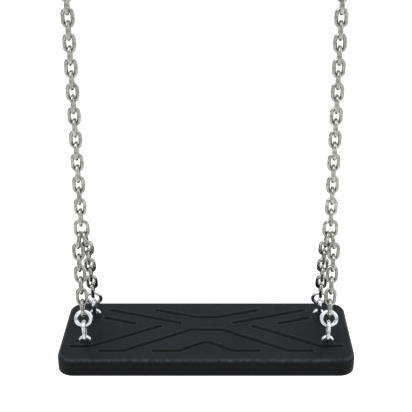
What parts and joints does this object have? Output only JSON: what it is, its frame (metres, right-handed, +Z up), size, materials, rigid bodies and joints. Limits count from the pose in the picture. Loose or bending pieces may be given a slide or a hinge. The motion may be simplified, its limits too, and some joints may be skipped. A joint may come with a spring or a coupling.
{
  "type": "chain-hung swing seat",
  "caption": "Flat moulded rubber swing seat with grip grooves, hung on two steel link chains that each split into a front and a rear leg, with pivot hangers for a beam.",
  "frame": {"origin": "middle of the four beam bolt holes, on the top faces of the two hanger plates", "axes": "+X along the beam and the seat, +Y to the back, +Z up; the swing hangs below the origin"},
  "size_m": [0.46, 0.18, 0.6847],
  "materials": {
    "seat_rubber": "fine moulded matte",
    "chain_steel": "galvanised",
    "fitting_steel": "bright zinc",
    "hanger_steel": "hot-dip galvanised",
    "insert_plate": "as rolled",
    "bush_nylon": "natural nylon"
  },
  "bodies": {
    "hangers": {"left_hanger_bracket": "hanger_steel", "right_hanger_bracket": "hanger_steel", "pivot_bolts": "hanger_steel", "pivot_washers": "hanger_steel", "pivot_nuts": "hanger_steel"},
    "left_eye": {"left_swing_eye": "hanger_steel", "left_bearing_bush": "bush_nylon"},
    "left_shackle": {"left_shackle_bow": "hanger_steel", "left_shackle_pin": "hanger_steel"},
    "left_chain_top": {"left_chain_links_01_02": "chain_steel"},
    "left_chain_upper": {"left_chain_links_03_04": "chain_steel", "left_chain_links_05_06": "chain_steel", "left_chain_links_07_08": "chain_steel", "left_chain_links_09_10": "chain_steel"},
    "left_chain_lower": {"left_chain_links_11_12": "chain_steel", "left_chain_links_13_14": "chain_steel", "left_chain_links_15_16": "chain_steel", "left_chain_links_17_18": "chain_steel"},
    "left_chain_bottom": {"left_chain_links_19_20": "chain_steel", "left_chain_links_21": "chain_steel"},
    "left_junction": {"left_junction_link": "chain_steel"},
    "right_eye": {"right_swing_eye": "hanger_steel", "right_bearing_bush": "bush_nylon"},
    "right_shackle": {"right_shackle_bow": "hanger_steel", "right_shackle_pin": "hanger_steel"},
    "right_chain_top": {"right_chain_links_01_02": "chain_steel"},
    "right_chain_upper": {"right_chain_links_03_04": "chain_steel", "right_chain_links_05_06": "chain_steel", "right_chain_links_07_08": "chain_steel", "right_chain_links_09_10": "chain_steel"},
    "right_chain_lower": {"right_chain_links_11_12": "chain_steel", "right_chain_links_13_14": "chain_steel", "right_chain_links_15_16": "chain_steel", "right_chain_links_17_18": "chain_steel"},
    "right_chain_bottom": {"right_chain_links_19_20": "chain_steel", "right_chain_links_21": "chain_steel"},
    "right_junction": {"right_junction_link": "chain_steel"},
    "seat": {"left_front_leg_links": "chain_steel", "left_front_ring": "fitting_steel", "left_front_seat_link": "fitting_steel", "left_front_staple": "fitting_steel", "left_rear_leg_links": "chain_steel", "left_rear_ring": "fitting_steel", "left_rear_seat_link": "fitting_steel", "left_rear_staple": "fitting_steel", "right_front_leg_links": "chain_steel", "right_front_ring": "fitting_steel", "right_front_seat_link": "fitting_steel", "right_front_staple": "fitting_steel", "right_rear_leg_links": "chain_steel", "right_rear_ring": "fitting_steel", "right_rear_seat_link": "fitting_steel", "right_rear_staple": "fitting_steel", "seat_insert_plate": "insert_plate", "seat_rubber": "seat_rubber", "staple_nuts": "fitting_steel"}
  },
  "joints": [
    {"name": "left_swing", "type": "hinge", "parent": "hangers", "child": "left_eye", "pos_m": [-0.191, 0, -0.028], "axis": [1, 0, 0], "range_deg": [-60, 60]},
    {"name": "left_shackle_tilt", "type": "hinge", "parent": "left_eye", "child": "left_shackle", "pos_m": [-0.191, 0, -0.0602], "axis": [1, 0, 0], "range_deg": [-20, 20]},
    {"name": "left_sway", "type": "hinge", "parent": "left_shackle", "child": "left_chain_top", "pos_m": [-0.191, 0, -0.0839], "axis": [0, 1, 0], "range_deg": [-10, 10]},
    {"name": "left_upper_bend", "type": "hinge", "parent": "left_chain_top", "child": "left_chain_upper", "pos_m": [-0.191, 0, -0.1262], "axis": [1, 0, 0], "range_deg": [-12, 12]},
    {"name": "left_middle_bend", "type": "hinge", "parent": "left_chain_upper", "child": "left_chain_lower", "pos_m": [-0.191, 0, -0.2702], "axis": [1, 0, 0], "range_deg": [-24, 24]},
    {"name": "left_lower_bend", "type": "hinge", "parent": "left_chain_lower", "child": "left_chain_bottom", "pos_m": [-0.191, 0, -0.4142], "axis": [1, 0, 0], "range_deg": [-12, 12]},
    {"name": "left_level", "type": "hinge", "parent": "left_chain_bottom", "child": "left_junction", "pos_m": [-0.191, 0, -0.4682], "axis": [0, 1, 0], "range_deg": [-10, 10]},
    {"name": "right_swing", "type": "hinge", "parent": "hangers", "child": "right_eye", "pos_m": [0.191, 0, -0.028], "axis": [1, 0, 0], "range_deg": [-60, 60]},
    {"name": "right_shackle_tilt", "type": "hinge", "parent": "right_eye", "child": "right_shackle", "pos_m": [0.191, 0, -0.0602], "axis": [1, 0, 0], "range_deg": [-20, 20]},
    {"name": "right_sway", "type": "hinge", "parent": "right_shackle", "child": "right_chain_top", "pos_m": [0.191, 0, -0.0839], "axis": [0, 1, 0], "range_deg": [-10, 10]},
    {"name": "right_upper_bend", "type": "hinge", "parent": "right_chain_top", "child": "right_chain_upper", "pos_m": [0.191, 0, -0.1262], "axis": [1, 0, 0], "range_deg": [-12, 12]},
    {"name": "right_middle_bend", "type": "hinge", "parent": "right_chain_upper", "child": "right_chain_lower", "pos_m": [0.191, 0, -0.2702], "axis": [1, 0, 0], "range_deg": [-24, 24]},
    {"name": "right_lower_bend", "type": "hinge", "parent": "right_chain_lower", "child": "right_chain_bottom", "pos_m": [0.191, 0, -0.4142], "axis": [1, 0, 0], "range_deg": [-12, 12]},
    {"name": "right_level", "type": "hinge", "parent": "right_chain_bottom", "child": "right_junction", "pos_m": [0.191, 0, -0.4682], "axis": [0, 1, 0], "range_deg": [-10, 10]},
    {"name": "seat_rock", "type": "hinge", "parent": "left_junction", "child": "seat", "pos_m": [-0.191, 0, -0.4879], "axis": [1, 0, 0], "range_deg": [-20, 20]}
  ],
  "couplings": [
    {"joint": "left_middle_bend", "follows": "left_upper_bend", "ratio": -2},
    {"joint": "left_lower_bend", "follows": "left_upper_bend", "ratio": 1},
    {"joint": "left_level", "follows": "left_sway", "ratio": -1},
    {"joint": "right_swing", "follows": "left_swing", "ratio": 1},
    {"joint": "right_shackle_tilt", "follows": "left_shackle_tilt", "ratio": 1},
    {"joint": "right_sway", "follows": "left_sway", "ratio": 1},
    {"joint": "right_upper_bend", "follows": "left_upper_bend", "ratio": 1},
    {"joint": "right_middle_bend", "follows": "left_upper_bend", "ratio": -2},
    {"joint": "right_lower_bend", "follows": "left_upper_bend", "ratio": 1},
    {"joint": "right_level", "follows": "left_sway", "ratio": -1}
  ]
}
